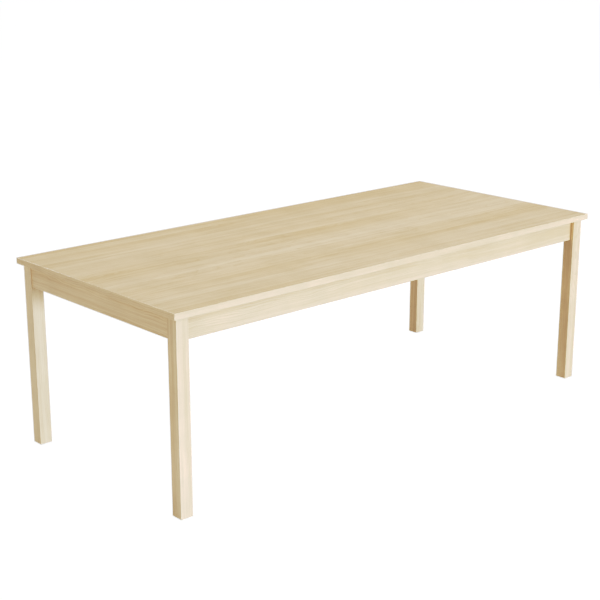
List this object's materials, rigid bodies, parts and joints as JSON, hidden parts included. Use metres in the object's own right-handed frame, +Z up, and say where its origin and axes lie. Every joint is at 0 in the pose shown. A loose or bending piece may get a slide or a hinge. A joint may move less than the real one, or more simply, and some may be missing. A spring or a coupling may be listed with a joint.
{
  "type": "communion table",
  "caption": "Low rectangular birch table: a thin veneered top with a small overhang on square corner legs, joined by set-back rails.",
  "frame": {"origin": "centre of the footprint, on the floor under the glides", "axes": "+X along the length to the right, +Y from the front long side to the back, +Z up"},
  "size_m": [1.8, 0.8, 0.6045],
  "materials": {
    "birch_veneer": "satin clear lacquer, straight lengthwise grain",
    "birch_lipping": "satin clear lacquer, solid birch edge",
    "backing_veneer": "thin sealed backing veneer",
    "chipboard": "raw board core, hidden",
    "birch_rail": "satin clear lacquer, grain along the rail",
    "birch_leg": "satin clear lacquer, upright grain",
    "beech_block": "planed, unfinished",
    "zinc_steel": "bright zinc plate",
    "yellow_zinc": "yellow passivated zinc plate",
    "glide_plastic": "smooth moulded"
  },
  "bodies": {
    "root": {"back_lipping": "birch_lipping", "back_rail": "birch_rail", "block_screws": "yellow_zinc", "bolt_nuts": "zinc_steel", "bolt_washers": "zinc_steel", "bracket_back_left": "zinc_steel", "bracket_back_middle": "zinc_steel", "bracket_back_right": "zinc_steel", "bracket_front_left": "zinc_steel", "bracket_front_middle": "zinc_steel", "bracket_front_right": "zinc_steel", "bracket_left_end": "zinc_steel", "bracket_rail_screws": "zinc_steel", "bracket_right_end": "zinc_steel", "bracket_top_screws": "zinc_steel", "corner_block_back_left": "beech_block", "corner_block_back_right": "beech_block", "corner_block_front_left": "beech_block", "corner_block_front_right": "beech_block", "front_lipping": "birch_lipping", "front_rail": "birch_rail", "glide_back_left": "glide_plastic", "glide_back_right": "glide_plastic", "glide_front_left": "glide_plastic", "glide_front_right": "glide_plastic", "glide_nails": "zinc_steel", "hanger_bolt_back_left": "zinc_steel", "hanger_bolt_back_right": "zinc_steel", "hanger_bolt_front_left": "zinc_steel", "hanger_bolt_front_right": "zinc_steel", "left_lipping": "birch_lipping", "left_rail": "birch_rail", "leg_back_left": "birch_leg", "leg_back_right": "birch_leg", "leg_front_left": "birch_leg", "leg_front_right": "birch_leg", "rail_dowels": "beech_block", "right_lipping": "birch_lipping", "right_rail": "birch_rail", "top_backing_veneer": "backing_veneer", "top_core": "chipboard", "top_face_veneer": "birch_veneer"}
  },
  "joints": []
}
